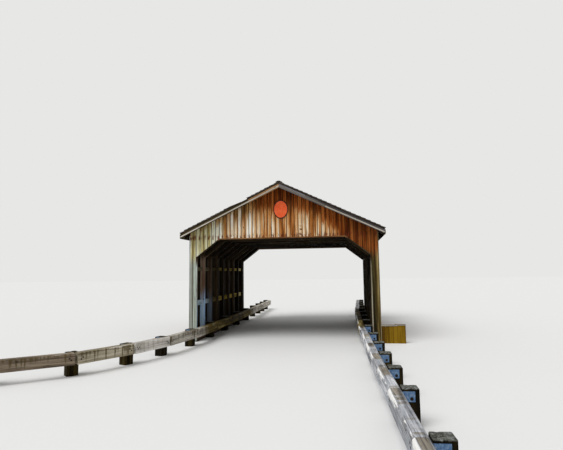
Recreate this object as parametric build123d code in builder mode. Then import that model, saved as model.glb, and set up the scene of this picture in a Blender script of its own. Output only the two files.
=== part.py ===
"""Covered timber road bridge with log guard rails.

Millimetres, +Z up. The origin is at road level in the middle of the bridge.
The road runs along Y and the front portal faces -Y. The bridge is alike at
both ends. A guard rail runs through it on each side of the road: straight
ahead of the front portal on the right, flared there on the left, and straight
beyond the rear portal on both sides.
"""
from build123d import *
from math import atan2, cos, hypot, radians, sin, tan
import os

os.makedirs("parts", exist_ok=True)

# Passage
passage_half_width = 3500
passage_height = 4110
haunch_width = 955
haunch_height = 729
bridge_length = 8460

# Portal and walls
trim_thickness = 45
trim_proud = 15
trim_joint = 2
gable_thickness = 40
board_foot = 50
wall_post_size = 180
bent_count = 9
girt_thickness = 60
girt_block_depth = 100
girt_rows = ((1520, 200), (2930, 150))
siding_thickness = 25
corner_board_thickness = 26
corner_board_width = 140
sill_height = 250

# Timber frame under the roof
top_plate_depth = 150
tie_depth = 200
tie_width = 150
brace_depth = 150
brace_width = 120
rafter_depth = 140
rafter_width = 90
rafter_seat = 112
ridge_board_thickness = 40
ridge_board_depth = 200

# Roof
roof_pitch = 25.5
eave_overhang = 254
rake_overhang = 470
deck_thickness = 30
shingle_thickness = 60
shingle_drip = 20
shingle_rake_drip = 15
ridge_cap_thickness = 20
ridge_cap_width = 130
ridge_cap_joint = 2
eave_board_thickness = 30
eave_board_depth = 160
rake_board_thickness = 40
rake_board_depth = 145
rake_board_joint = 3

# Sign plaque over the front portal
sign_width = 590
sign_height = 750
sign_thickness = 30
sign_above_lintel = 1170

# Wing walls beside two of the portal corners
wing_length = 900
wing_thickness = 80
wing_height = 670
wing_cap_thickness = 50
wing_cap_width = 150

# Guard rails: each joint lies over a post, so far ahead of the portal's
# face, and so far outside the line of the rail in the passage
rail_top = 650
rail_depth = 320
rail_thickness = 230
rail_edge_chamfer = 30
rail_joint = 8
rail_end_overhang = 280
guard_post_size = 300
guard_post_top = 680
flared_post_top = 640
portal_joint_inset = 70
inner_bay_count = 4
rear_bay_count = 4
flared_joints = ((1030, 70), (3090, 380), (4660, 880), (6330, 1730), (7680, 3340))
straight_joints = (
    (2110, 75),
    (4100, 115),
    (5810, 155),
    (7540, 215),
    (9320, 290),
    (11750, 375),
    (13700, 440),
)

# Steel angles that tie the rails to their posts outside the bridge
angle_thickness = 10
angle_post_leg = 220
angle_rail_leg = 90
angle_height = 180
angle_top_cover = 50

# Places that follow from the sizes above
portal_y = bridge_length / 2
wall_y = portal_y - gable_thickness
frame_half_width = passage_half_width + trim_thickness
girt_inside = frame_half_width + wall_post_size
siding_inside = girt_inside + girt_thickness
siding_outside = siding_inside + siding_thickness
wall_outside = siding_outside + corner_board_thickness
tie_bottom = passage_height + trim_thickness
haunch_angle = atan2(haunch_height, haunch_width)
tie_top = tie_bottom + tie_depth
tie_cut = siding_inside - rafter_seat
slope = radians(roof_pitch)
deck_bottom = shingle_thickness + deck_thickness
rafter_bottom = deck_bottom + rafter_depth
ridge_height = tie_top + tie_cut * tan(slope) + rafter_bottom / cos(slope)
eave_half_width = wall_outside + eave_overhang
rail_half_gap = passage_half_width - guard_post_size - rail_thickness
rake_y = portal_y + rake_overhang
rake_inside_y = rake_y - rake_board_thickness
bent_spacing = 2 * (wall_y - wall_post_size / 2) / (bent_count - 1)
bent_y = [(i - (bent_count - 1) / 2) * bent_spacing for i in range(bent_count)]
bent_planes = [Plane.XZ.offset(-y) for y in bent_y]
sides = {"left": -1, "right": 1}
ends = {"front": -1, "rear": 1}


def roof_z(x, depth):
    """Height over x of the plane that lies depth below the roof's top surface."""
    return ridge_height - depth / cos(slope) - tan(slope) * abs(x)


def portal_edge(margin):
    """Right half of the portal's outline, margin outside the clear passage."""
    knee = passage_height - haunch_height + margin * (1 - sin(haunch_angle)) / cos(haunch_angle)
    shoulder = passage_half_width - haunch_width + margin * (1 - cos(haunch_angle)) / sin(haunch_angle)
    jamb = passage_half_width + margin
    return (jamb, knee), (shoulder, passage_height + margin)


def to_side(points, side):
    """Points of the right half, mirrored to the given side."""
    return [(side * x, z) for x, z in points]


def end_plane(end, depth=0):
    """Plane on a portal's outer face, depth into the bridge, facing the front."""
    return Plane.XZ.offset(-end * (portal_y - depth))


def save(piece, name):
    """Label a finished piece and write it out."""
    piece.part.label = name
    export_step(piece.part, f"parts/{name}.step")


# Sills on the ground under both walls
with BuildPart() as sills:
    for side in sides.values():
        with Locations((side * (passage_half_width + siding_inside) / 2, 0, sill_height / 2)):
            Box(siding_inside - passage_half_width, 2 * wall_y, sill_height)
save(sills, "sills")

# Top plates over the wall posts
with BuildPart() as top_plates:
    for side in sides.values():
        with Locations((side * (frame_half_width + siding_inside) / 2, 0, tie_bottom - top_plate_depth / 2)):
            Box(siding_inside - frame_half_width, 2 * wall_y, top_plate_depth)
save(top_plates, "top_plates")

# Tie beams across the passage, their ends cut to the rafters' underside
with BuildPart() as tie_beams:
    with BuildSketch(*bent_planes):
        Polygon(
            (-siding_inside, tie_bottom),
            (siding_inside, tie_bottom),
            (siding_inside, roof_z(siding_inside, rafter_bottom)),
            (tie_cut, tie_top),
            (-tie_cut, tie_top),
            (-siding_inside, roof_z(siding_inside, rafter_bottom)),
            align=None,
        )
    extrude(amount=tie_width / 2, both=True)
save(tie_beams, "tie_beams")

# Knee braces along the haunches of the passage
brace_low, brace_high = portal_edge(trim_thickness)
brace_rise = brace_depth / cos(haunch_angle)
brace_run = brace_depth / sin(haunch_angle)
with BuildPart() as knee_braces:
    with BuildSketch(*bent_planes):
        for side in sides.values():
            outline = [
                brace_low,
                brace_high,
                (brace_high[0] + brace_run, tie_bottom),
                (frame_half_width, brace_low[1] + brace_rise),
            ]
            Polygon(*to_side(outline, side), align=None)
    extrude(amount=brace_width / 2, both=True)
save(knee_braces, "knee_braces")

# Ridge board, its top edge cut to the roof deck
with BuildPart() as ridge_board:
    with BuildSketch(Plane.XZ):
        half = ridge_board_thickness / 2
        foot = roof_z(half, deck_bottom) - ridge_board_depth
        Polygon(
            (-half, foot),
            (half, foot),
            (half, roof_z(half, deck_bottom)),
            (0, roof_z(0, deck_bottom)),
            (-half, roof_z(half, deck_bottom)),
            align=None,
        )
    extrude(amount=wall_y, both=True)
save(ridge_board, "ridge_board")

for name, side in sides.items():
    # Posts between sill and top plate
    with BuildPart() as wall_posts:
        post_height = tie_bottom - top_plate_depth - sill_height
        post_x = side * (frame_half_width + wall_post_size / 2)
        with Locations((post_x, 0, sill_height + post_height / 2)):
            with GridLocations(0, bent_spacing, 1, bent_count):
                Box(wall_post_size, wall_post_size, post_height)
    save(wall_posts, f"{name}_wall_posts")

    # Girts outside the posts, which carry the boards
    with BuildPart() as girts:
        for centre, height in girt_rows:
            with Locations((side * (girt_inside + girt_thickness / 2), 0, centre)):
                Box(girt_thickness, 2 * wall_y, height)
    save(girts, f"{name}_girts")

    # Blocks on the girts, between the posts
    with BuildPart() as girt_blocks:
        for centre, height in girt_rows:
            with Locations((side * (girt_inside - girt_block_depth / 2), 0, centre)):
                with GridLocations(0, bent_spacing, 1, bent_count - 1):
                    Box(girt_block_depth, bent_spacing - wall_post_size, height)
    save(girt_blocks, f"{name}_girt_blocks")

    # Upright board siding, up to the rafters
    with BuildPart() as siding:
        with BuildSketch(Plane.XZ):
            outline = [
                (siding_inside, board_foot),
                (siding_outside, board_foot),
                (siding_outside, roof_z(siding_outside, rafter_bottom)),
                (siding_inside, roof_z(siding_inside, rafter_bottom)),
            ]
            Polygon(*to_side(outline, side), align=None)
        extrude(amount=wall_y, both=True)
    save(siding, f"{name}_siding")

    # Rafters over every bent
    rafter_foot = eave_half_width - eave_board_thickness
    rafter_head = ridge_board_thickness / 2
    with BuildPart() as rafters:
        with BuildSketch(*bent_planes):
            outline = [
                (rafter_head, roof_z(rafter_head, rafter_bottom)),
                (rafter_foot, roof_z(rafter_foot, rafter_bottom)),
                (rafter_foot, roof_z(rafter_foot, deck_bottom)),
                (rafter_head, roof_z(rafter_head, deck_bottom)),
            ]
            Polygon(*to_side(outline, side), align=None)
        extrude(amount=rafter_width / 2, both=True)
    save(rafters, f"{name}_rafters")

    # Roof deck of one slope
    with BuildPart() as roof_deck:
        with BuildSketch(Plane.XZ):
            outline = [
                (0, roof_z(0, deck_bottom)),
                (eave_half_width, roof_z(eave_half_width, deck_bottom)),
                (eave_half_width, roof_z(eave_half_width, shingle_thickness)),
                (0, roof_z(0, shingle_thickness)),
            ]
            Polygon(*to_side(outline, side), align=None)
        extrude(amount=rake_y, both=True)
    save(roof_deck, f"{name}_roof_deck")

    # Shingle layer of one slope
    with BuildPart() as shingles:
        shingle_foot = eave_half_width + shingle_drip
        with BuildSketch(Plane.XZ):
            outline = [
                (0, roof_z(0, shingle_thickness)),
                (shingle_foot, roof_z(shingle_foot, shingle_thickness)),
                (shingle_foot, roof_z(shingle_foot, 0)),
                (0, roof_z(0, 0)),
            ]
            Polygon(*to_side(outline, side), align=None)
        extrude(amount=rake_y + shingle_rake_drip, both=True)
    save(shingles, f"{name}_shingles")

# Eave boards across the rafter feet
with BuildPart() as eave_boards:
    with BuildSketch(Plane.XZ):
        eave_board_foot = roof_z(eave_half_width, deck_bottom) - eave_board_depth
        for side in sides.values():
            outline = [
                (rafter_foot, eave_board_foot),
                (eave_half_width, eave_board_foot),
                (eave_half_width, roof_z(eave_half_width, deck_bottom)),
                (rafter_foot, roof_z(rafter_foot, deck_bottom)),
            ]
            Polygon(*to_side(outline, side), align=None)
    extrude(amount=rake_inside_y, both=True)
save(eave_boards, "eave_boards")

# Ridge cap, one board on each slope
with BuildPart() as ridge_cap:
    with BuildSketch(Plane.XZ):
        for side in sides.values():
            outline = [
                (ridge_cap_joint / 2, roof_z(ridge_cap_joint / 2, 0)),
                (ridge_cap_width, roof_z(ridge_cap_width, 0)),
                (ridge_cap_width, roof_z(ridge_cap_width, -ridge_cap_thickness)),
                (ridge_cap_joint / 2, roof_z(ridge_cap_joint / 2, -ridge_cap_thickness)),
            ]
            Polygon(*to_side(outline, side), align=None)
    extrude(amount=rake_y + shingle_rake_drip, both=True)
save(ridge_cap, "ridge_cap")

# Corner boards on the side walls beside both portals
with BuildPart() as corner_boards:
    with BuildSketch(Plane.XZ.offset(portal_y), Plane.XZ.offset(corner_board_width - portal_y)):
        for side in sides.values():
            outline = [
                (siding_outside, board_foot),
                (wall_outside, board_foot),
                (wall_outside, roof_z(wall_outside, rafter_bottom)),
                (siding_outside, roof_z(siding_outside, rafter_bottom)),
            ]
            Polygon(*to_side(outline, side), align=None)
    extrude(amount=-corner_board_width)
save(corner_boards, "corner_boards")

jamb_knee, lintel_end = portal_edge(trim_thickness)
trim_knee, trim_shoulder = portal_edge(0)
for name, end in ends.items():
    gable_plane = end_plane(end, gable_thickness / 2)

    # Gable boards over the lintel
    with BuildPart() as gable_field:
        with BuildSketch(gable_plane):
            Polygon(
                (-lintel_end[0], lintel_end[1]),
                lintel_end,
                (lintel_end[0], roof_z(lintel_end[0], deck_bottom)),
                (0, roof_z(0, deck_bottom)),
                (-lintel_end[0], roof_z(lintel_end[0], deck_bottom)),
                align=None,
            )
        extrude(amount=gable_thickness / 2, both=True)
    save(gable_field, f"{name}_gable_field")

    # Gable boards over the haunches
    with BuildPart() as gable_haunches:
        with BuildSketch(gable_plane):
            for side in sides.values():
                outline = [
                    lintel_end,
                    jamb_knee,
                    (jamb_knee[0], roof_z(jamb_knee[0], deck_bottom)),
                    (lintel_end[0], roof_z(lintel_end[0], deck_bottom)),
                ]
                Polygon(*to_side(outline, side), align=None)
        extrude(amount=gable_thickness / 2, both=True)
    save(gable_haunches, f"{name}_gable_haunches")

    # Jamb boards from the ground to the roof
    with BuildPart() as gable_jambs:
        with BuildSketch(gable_plane):
            for side in sides.values():
                outline = [
                    (frame_half_width, board_foot),
                    (siding_outside, board_foot),
                    (siding_outside, roof_z(siding_outside, deck_bottom)),
                    (frame_half_width, roof_z(frame_half_width, deck_bottom)),
                ]
                Polygon(*to_side(outline, side), align=None)
        extrude(amount=gable_thickness / 2, both=True)
    save(gable_jambs, f"{name}_gable_jambs")

    # Trim around the passage, over the boards' cut edges
    with BuildPart() as portal_trim:
        trim_depth = gable_thickness + trim_proud
        with BuildSketch(end_plane(end, (gable_thickness - trim_proud) / 2)):
            Polygon(
                (-trim_shoulder[0], trim_shoulder[1]),
                trim_shoulder,
                lintel_end,
                (-lintel_end[0], lintel_end[1]),
                align=None,
            )
            along_x = trim_joint * cos(haunch_angle)
            along_z = trim_joint * sin(haunch_angle)
            for side in sides.values():
                haunch_strip = [
                    (trim_shoulder[0] + along_x, trim_shoulder[1] - along_z),
                    (trim_knee[0] - along_x, trim_knee[1] + along_z),
                    (jamb_knee[0] - along_x, jamb_knee[1] + along_z),
                    (lintel_end[0] + along_x, lintel_end[1] - along_z),
                ]
                Polygon(*to_side(haunch_strip, side), align=None)
                jamb_strip = [
                    (passage_half_width, board_foot),
                    (frame_half_width, board_foot),
                    (frame_half_width, jamb_knee[1] - trim_joint),
                    (passage_half_width, trim_knee[1] - trim_joint),
                ]
                Polygon(*to_side(jamb_strip, side), align=None)
        extrude(amount=trim_depth / 2, both=True)
    save(portal_trim, f"{name}_portal_trim")

    # Barge boards under the edge of the roof deck
    with BuildPart() as rake_boards:
        with BuildSketch(Plane.XZ.offset(-end * (rake_y - rake_board_thickness / 2))):
            for side in sides.values():
                head = rake_board_joint / 2
                depth = deck_bottom + rake_board_depth
                foot = eave_half_width - rake_board_depth * sin(slope)
                outline = [
                    (head, roof_z(head, depth)),
                    (foot, roof_z(foot, depth)),
                    (eave_half_width, roof_z(eave_half_width, deck_bottom)),
                    (head, roof_z(head, deck_bottom)),
                ]
                Polygon(*to_side(outline, side), align=None)
        extrude(amount=rake_board_thickness / 2, both=True)
    save(rake_boards, f"{name}_rake_boards")

# Plain oval plaque on the front gable
with BuildPart() as sign_plaque:
    with BuildSketch(end_plane(ends["front"])):
        with Locations((0, passage_height + sign_above_lintel)):
            Ellipse(sign_width / 2, sign_height / 2)
    extrude(amount=sign_thickness)
save(sign_plaque, "sign_plaque")

# Low wing walls at the front right and rear left corners, with their caps
wing_centre_x = wall_outside + wing_length / 2
wing_centre_y = portal_y - wing_cap_width / 2
with BuildPart() as wing_walls:
    for turn in ends.values():
        with Locations((-turn * wing_centre_x, turn * wing_centre_y, wing_height / 2)):
            Box(wing_length, wing_thickness, wing_height)
save(wing_walls, "wing_walls")

with BuildPart() as wing_wall_caps:
    for turn in ends.values():
        cap_z = wing_height + wing_cap_thickness / 2
        with Locations((-turn * wing_centre_x, turn * wing_centre_y, cap_z)):
            Box(wing_length, wing_cap_width, wing_cap_thickness)
save(wing_wall_caps, "wing_wall_caps")


def unit(start, end):
    """Direction in plan from one point to another."""
    length = hypot(end[0] - start[0], end[1] - start[1])
    return ((end[0] - start[0]) / length, (end[1] - start[1]) / length)


def moved(point, direction, distance):
    """A point in plan, moved along a direction."""
    return (point[0] + direction[0] * distance, point[1] + direction[1] * distance)


class GuardRail:
    """One guard rail in plan, as on the left of the road; side 1 mirrors it to the right."""

    def __init__(self, side, ahead, inner, beyond):
        self.side = side
        self.joints = ahead[::-1] + inner + beyond
        self.ahead = range(0, len(ahead))
        self.inner = range(len(ahead), len(ahead) + len(inner))
        self.beyond = range(len(ahead) + len(inner), len(self.joints))
        self.bays = [unit(a, b) for a, b in zip(self.joints, self.joints[1:])]
        self.before = [self.bays[0]] + self.bays
        self.after = self.bays + [self.bays[-1]]

    def placed(self, points):
        """Points in plan on the rail's own side of the road."""
        return [(-self.side * x, y) for x, y in points]

    def mitre(self, i):
        """Outward direction at joint i and the cosine of half the turn there."""
        mean_x = self.before[i][0] + self.after[i][0]
        mean_y = self.before[i][1] + self.after[i][1]
        length = hypot(mean_x, mean_y)
        return (-mean_y / length, mean_x / length), length / 2

    def seat(self, i):
        """Point behind joint i where the timbers' backs meet."""
        outward, half_cos = self.mitre(i)
        return moved(self.joints[i], outward, rail_thickness / half_cos)

    def beam_plan(self, i):
        """Plan of the timber from joint i to the next, its ends cut along the mitres."""
        first_gap, last_gap = rail_joint / 2, rail_joint / 2
        if i == 0:
            first_gap = -rail_end_overhang
        if i == len(self.bays) - 1:
            last_gap = -rail_end_overhang
        direction = self.bays[i]
        front_start = moved(self.joints[i], direction, first_gap)
        front_end = moved(self.joints[i + 1], direction, -last_gap)
        back_start = moved(self.seat(i), direction, first_gap)
        back_end = moved(self.seat(i + 1), direction, -last_gap)
        return self.placed([front_start, front_end, back_end, back_start])

    def post_plan(self, i):
        """Plan of the post behind joint i, its front cut to the timbers' backs."""
        outward, half_cos = self.mitre(i)
        seat = self.seat(i)
        reach = guard_post_size / 2 / half_cos
        front_before = moved(seat, self.before[i], -reach)
        front_after = moved(seat, self.after[i], reach)
        if i in self.inner:
            back_before = (-passage_half_width, front_before[1])
            back_after = (-passage_half_width, front_after[1])
        else:
            along = (outward[1], -outward[0])
            back_centre = moved(seat, outward, guard_post_size)
            back_before = moved(back_centre, along, -guard_post_size / 2)
            back_after = moved(back_centre, along, guard_post_size / 2)
        return self.placed([front_before, seat, front_after, back_after, back_before])

    def angle_plan(self, i):
        """Plan of the steel angle on the far side of the post behind joint i."""
        outward, half_cos = self.mitre(i)
        if self.joints[i][1] < 0:
            away = (-self.before[i][0], -self.before[i][1])
            off_rail = (away[1], -away[0])
        else:
            away = self.after[i]
            off_rail = (-away[1], away[0])
        if i in self.inner:
            outward = (-1, 0)
        corner = moved(self.seat(i), away, guard_post_size / 2 / half_cos)
        rail_tip = moved(corner, away, angle_rail_leg)
        post_tip = moved(corner, outward, angle_post_leg)
        inside = moved(moved(corner, away, angle_thickness), off_rail, angle_thickness)
        return self.placed([
            corner,
            rail_tip,
            moved(rail_tip, off_rail, angle_thickness),
            inside,
            moved(post_tip, away, angle_thickness),
            post_tip,
        ])


def joint_places(places, end):
    """Joints ahead of a portal as points in plan on the left of the road."""
    return [(-rail_half_gap - out, end * (portal_y + ahead)) for ahead, out in places]


def inner_joints(first_y, last_y):
    """Joints of a rail in the passage, after the first place up to the last."""
    bay = (last_y - first_y) / inner_bay_count
    return [(-rail_half_gap, first_y + bay * (i + 1)) for i in range(inner_bay_count)]


flared_ahead = joint_places(flared_joints, ends["front"])
straight_ahead = joint_places(straight_joints, ends["front"])
straight_beyond = joint_places(straight_joints[:rear_bay_count], ends["rear"])
rear_portal_y = portal_y - portal_joint_inset
left_inner = inner_joints(flared_ahead[0][1], rear_portal_y)
right_inner = [(-rail_half_gap, -rear_portal_y)] + inner_joints(-rear_portal_y, rear_portal_y)
left_rail = GuardRail(sides["left"], flared_ahead, left_inner, straight_beyond)
right_rail = GuardRail(sides["right"], straight_ahead, right_inner, straight_beyond)

# Each rail, its first bay in the passage and the top of its posts ahead of it
rails = {
    "left": (left_rail, left_rail.inner.start - 1, flared_post_top),
    "right": (right_rail, right_rail.inner.start, guard_post_top),
}


def build_beams(rail, bay_numbers):
    """Timbers of some bays of a guard rail."""
    with BuildPart() as beams:
        with BuildSketch(Plane.XY.offset(rail_top - rail_depth)):
            for i in bay_numbers:
                Polygon(*rail.beam_plan(i), align=None)
        extrude(amount=rail_depth)
        top_edges = beams.edges().group_by(Axis.Z)[-1]
        long_edges = [edge for edge in top_edges if edge.length > rail_thickness * 2]
        chamfer(long_edges, rail_edge_chamfer)
    return beams


def build_guard_posts(rail, joint_numbers, top):
    """Posts behind some joints of a guard rail."""
    with BuildPart() as posts:
        with BuildSketch():
            for i in joint_numbers:
                Polygon(*rail.post_plan(i), align=None)
        extrude(amount=top)
    return posts


for name, (rail, first_inner_bay, front_post_top) in rails.items():
    first_rear_bay = rail.beyond.start - 1
    inner_bays = range(first_inner_bay, first_rear_bay)
    rear_bays = range(first_rear_bay, len(rail.bays))
    save(build_beams(rail, range(first_inner_bay)), f"front_{name}_rail_beams")
    save(build_beams(rail, inner_bays), f"{name}_inner_rail_beams")
    save(build_beams(rail, rear_bays), f"rear_{name}_rail_beams")
    save(build_guard_posts(rail, rail.ahead, front_post_top), f"front_{name}_rail_posts")
    save(build_guard_posts(rail, rail.inner, guard_post_top), f"{name}_inner_rail_posts")
    save(build_guard_posts(rail, rail.beyond, guard_post_top), f"rear_{name}_rail_posts")

# Steel angles on the posts that stand in a portal or outside the bridge
with BuildPart() as post_angles:
    with BuildSketch(Plane.XY.offset(guard_post_top - angle_top_cover - angle_height)):
        for rail in (left_rail, right_rail):
            for i, joint in enumerate(rail.joints):
                if abs(joint[1]) > portal_y - guard_post_size:
                    Polygon(*rail.angle_plan(i), align=None)
    extrude(amount=angle_height)
save(post_angles, "post_angles")
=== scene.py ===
"""Looks of a covered timber road bridge with guard rails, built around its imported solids.

Metres, +Z up. The front portal faces -Y and the road runs along Y.
"""
from functools import partial
from math import cos, hypot, pi, radians, sin, sqrt
from random import Random

import bmesh
import bpy
from mathutils import Matrix, Vector, noise


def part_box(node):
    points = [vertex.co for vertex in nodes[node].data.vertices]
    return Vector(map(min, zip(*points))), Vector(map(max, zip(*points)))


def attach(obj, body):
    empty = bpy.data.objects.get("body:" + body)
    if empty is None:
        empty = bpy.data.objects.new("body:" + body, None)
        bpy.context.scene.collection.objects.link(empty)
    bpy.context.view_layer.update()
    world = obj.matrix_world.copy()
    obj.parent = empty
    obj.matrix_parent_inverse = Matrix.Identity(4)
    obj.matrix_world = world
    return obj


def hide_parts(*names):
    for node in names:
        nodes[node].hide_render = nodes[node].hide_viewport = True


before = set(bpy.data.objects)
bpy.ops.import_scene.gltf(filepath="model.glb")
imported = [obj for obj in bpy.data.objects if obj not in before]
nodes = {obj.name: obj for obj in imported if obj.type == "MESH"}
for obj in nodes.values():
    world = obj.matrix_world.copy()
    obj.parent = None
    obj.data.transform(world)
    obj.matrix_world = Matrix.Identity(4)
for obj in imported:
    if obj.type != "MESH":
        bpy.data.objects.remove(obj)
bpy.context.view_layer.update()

BODY = "root"
HAIR = 1e-4
SIDES = {"left": -1, "right": 1}
ENDS = {"front": -1, "rear": 1}
RAILS = ("front_left", "left_inner", "rear_left", "front_right", "right_inner", "rear_right")
noise.seed_set(1)

# Camera, fitted to the photograph
PHOTO_WIDTH = 563
FOCAL_PIXELS = 450
SENSOR_WIDTH = 36
CAMERA_PLACE = (2.591, -22.103, 2.742)
CAMERA_YAW = radians(8.17)
CAMERA_PITCH = radians(6.01)
CAMERA_ROLL = radians(-0.75)
CAMERA_REACH = 500

# Light and floor
SUN_STRENGTH = 1.9
SUN_SOFTNESS = radians(40)
SUN_DIRECTION = (0.42, 0.62, -0.95)
SKY_STRENGTH = 0.5
BACKDROP = (0.80, 0.80, 0.79)
FLOOR_COLOUR = (0.84, 0.84, 0.83)
FLOOR_HALF = 150

# Board work
BOARD_BEVEL = 0.003
BOARD_GAP = 0.006
BOARD_LAP = 0.014
BOARD_WIDTH = 0.157
SEAM_WIDTH = 0.024
DECK_BOARD = 0.152
DECK_JOINTS = (0.65, 0.35)
SAWN_STEP = 0.35
NAIL_ASIDE = 0.04
NAIL_PROFILE = ((0.006, -0.002), (0.006, 0.0012), (0.0036, 0.002))
NAILS_OVER_FOOT = (0.09, 0.75)
NAILS_UNDER_ROOF = 0.35
SILL_NAILS = 0.15
PLATE_NAILS = 0.12
GIRT_NAILS = 0.1

# Barge boards and their battens: where they are joined, and the tones of both lengths, left and right
BARGE_JOINTS = {-1: 1.25, 1: 1.05}
# The right tones take part of the pale blue-grey, which is partly a painted highlight.
BARGE_TONES = {-1: (1.0, 0.5), 1: (0.036, 0.042)}
BATTEN_JOINTS = {-1: 0.79, 1: 0.45}
BATTEN_TONES = {-1: (0.85, 0.85), 1: (0.05, 0.5)}
BATTEN_THICKNESS = 0.014
BATTEN_SPAN = (0.47, 0.80)
BATTEN_SLIP = 0.006

# Wing walls
WING_BOARD = 0.15
WING_BOARD_THICKNESS = 0.025
WING_STEP = 0.024
WING_CAP_JOINT = {-1: 0.45, 1: 0.55}
WING_CAP_SLIP = 0.008

# Sign: sides of its outline, reach of its face, and scale and depth of the rings over it
SIGN_SIDES = 72
SIGN_FACE = 0.91
SIGN_PROFILE = ((1.0, 0.006), (0.985, 0.001), (0.93, 0), (0.90, 0.002), (0.88, 0.009), (0.8, 0.008),
                (0.5, 0.005), (0.2, 0.003), (0.01, 0.003))

# Shakes
SHAKE_EXPOSURE = 0.205
SHAKE_LENGTH = 0.6
SHAKE_WIDTHS = (0.09, 0.21)
SHAKE_GAP = 0.006
SHAKE_LEAST = 0.03
SHAKE_HEAD = 0.002
SHAKE_SLIP = 0.022
LOST_SHAKES = (1.55, 2.15)
LOST_SHAKES_REACH = 0.5
BARE_CORNER = 0.35
CAP_EXPOSURE = 0.235
CAP_LENGTH = 0.40
CAP_THICKNESS = 0.010
CAP_SLIP = 0.008

# Guard rails
RAIL_CHAMFER = 0.030
RAIL_END_GAP = {"left": 0.032, "right": 0.006}
RAIL_RIM = 0.005
RAIL_RIM_RUN = 0.006
RAIL_STEP = 0.06
RAIL_BOLT = ((0.022, -0.01), (0.022, 0.001), (0.018, 0.003))
RAIL_BOLT_INSET = 0.13
RAIL_BOLT_STEP = 0.05
RAIL_BOLT_LEVELS = (0.42, 0.56)
WORN_END = 1.2
CHECK_RUN = (0.35, 1.1)
CHECK_WIDTH = (0.003, 0.009)
CHECK_DEPTH = (0.008, 0.022)
CHECK_LEAST = 0.0003
STOPS_PER_FACE = 6
CHECKS_PER_FACE = 3

# Guard posts: drop from the top, scale and depth of the splits, up and over the weathered top
POST_TOP = ((0.02, 1.0, 0.3), (0.008, 0.985, 0.6), (0.002, 0.95, 0.8), (0.001, 0.8, 0.9), (0, 0.55, 1.0),
            (0.001, 0.25, 1.0), (0.002, 0.02, 1.0))
POST_SPLIT = 0.016
POST_HALF = 0.15
POST_ROUNDING = 0.016
POST_TILT = 0.02

# Steel angles: a bolt's place along its leg and up the angle, its radius and its height
ANGLE_BEVEL = 0.0015
POST_LEG_BOLT = (0.72, 0.3, 0.018, 0.020)
RAIL_LEG_BOLT = (0.62, 0.5, 0.015, 0.018)


def corners(node):
    """Corners of a CAD node."""
    return [v.co for v in nodes[node].data.vertices]


def roof_shape():
    """Height of the ridge, and the fall and the run of a slope per metre along it."""
    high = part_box("right_shingles")[1]
    foot_z = max(c.z for c in corners("right_shingles") if c.x > high.x - HAIR)
    run, fall = high.x, high.z - foot_z
    length = hypot(run, fall)
    return high.z, fall / length, run / length


RIDGE_Z, SLOPE_SIN, SLOPE_COS = roof_shape()
PITCH = SLOPE_SIN / SLOPE_COS
SHINGLE_DEPTH = (RIDGE_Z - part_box("right_roof_deck")[1].z) * SLOPE_COS
DECK_DEPTH = (RIDGE_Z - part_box("front_gable_field")[1].z) * SLOPE_COS
LINTEL_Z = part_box("front_gable_field")[0].z
KNEE_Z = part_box("front_gable_haunches")[0].z
PORTAL_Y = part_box("rear_gable_field")[1].y
RAIL_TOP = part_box("front_right_rail_beams")[1].z
SIDING_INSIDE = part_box("right_siding")[0].x


def roof_z(x, depth):
    """Height over x of the plane that lies depth below the roof's top surface."""
    return RIDGE_Z - depth / SLOPE_COS - abs(x) * PITCH


def on_slope(side, down, depth, y):
    """Point a distance down the slope from the ridge, depth under its top surface."""
    x = down * SLOPE_COS - depth * SLOPE_SIN
    return (side * x, y, RIDGE_Z - down * SLOPE_SIN - depth * SLOPE_COS)


# Meshes

class Stock:
    """Points and faces of one piece, where each board has its own grain and tone."""

    def __init__(self):
        self.points = []
        self.faces = []
        self.grain = []
        self.tone = []
        self.edge = []

    def add(self, points, faces, grain, tone, edge=None):
        """Add one board. Grain is a distance along it and two across, per point."""
        start = len(self.points)
        self.points += [tuple(p) for p in points]
        self.faces += [tuple(start + i for i in face) for face in faces]
        self.grain += [tuple(g) for g in grain]
        self.tone += [tone] * len(points)
        self.edge += edge or [0.0] * len(points)

    def replace(self, node, kind, slot, finish, smooth=None):
        """Make the object in the place of a CAD node, named after it."""
        self.piece(f"{node}_{kind}", slot, finish, [node], smooth)

    def piece(self, name, slot, finish, replaced=(), smooth=None):
        """Make the object, riding on the bridge."""
        mesh = closed_mesh(name, self.points, self.faces)
        grain = mesh.attributes.new("grain", "FLOAT_VECTOR", "POINT")
        grain.data.foreach_set("vector", [c for g in self.grain for c in g])
        mesh.attributes.new("tone", "FLOAT", "POINT").data.foreach_set("value", self.tone)
        mesh.attributes.new("edge", "FLOAT", "POINT").data.foreach_set("value", self.edge)
        if smooth:
            smooth_faces(mesh, smooth)
        placed(name, mesh, [MATERIALS[finish]], replaced)


def closed_mesh(name, points, faces):
    """A mesh of closed shells, with every face turned outward."""
    mesh = bpy.data.meshes.new(name)
    mesh.from_pydata(points, [], faces)
    work = bmesh.new()
    work.from_mesh(mesh)
    bmesh.ops.recalc_face_normals(work, faces=work.faces)
    work.to_mesh(mesh)
    work.free()
    return mesh


def smooth_faces(mesh, degrees):
    """Shade smoothly where faces meet at less than an angle."""
    mesh.shade_smooth()
    mesh.set_sharp_from_angle(angle=radians(degrees))


def new_object(name, data):
    """An object in the scene."""
    made = bpy.data.objects.new(name, data)
    bpy.context.scene.collection.objects.link(made)
    return made


def placed(name, mesh, materials, replaced=()):
    """Make an object with its materials, riding on the bridge."""
    piece = new_object(name, mesh)
    for material in materials:
        mesh.materials.append(material)
    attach(piece, BODY)
    if replaced:
        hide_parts(*replaced)


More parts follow.
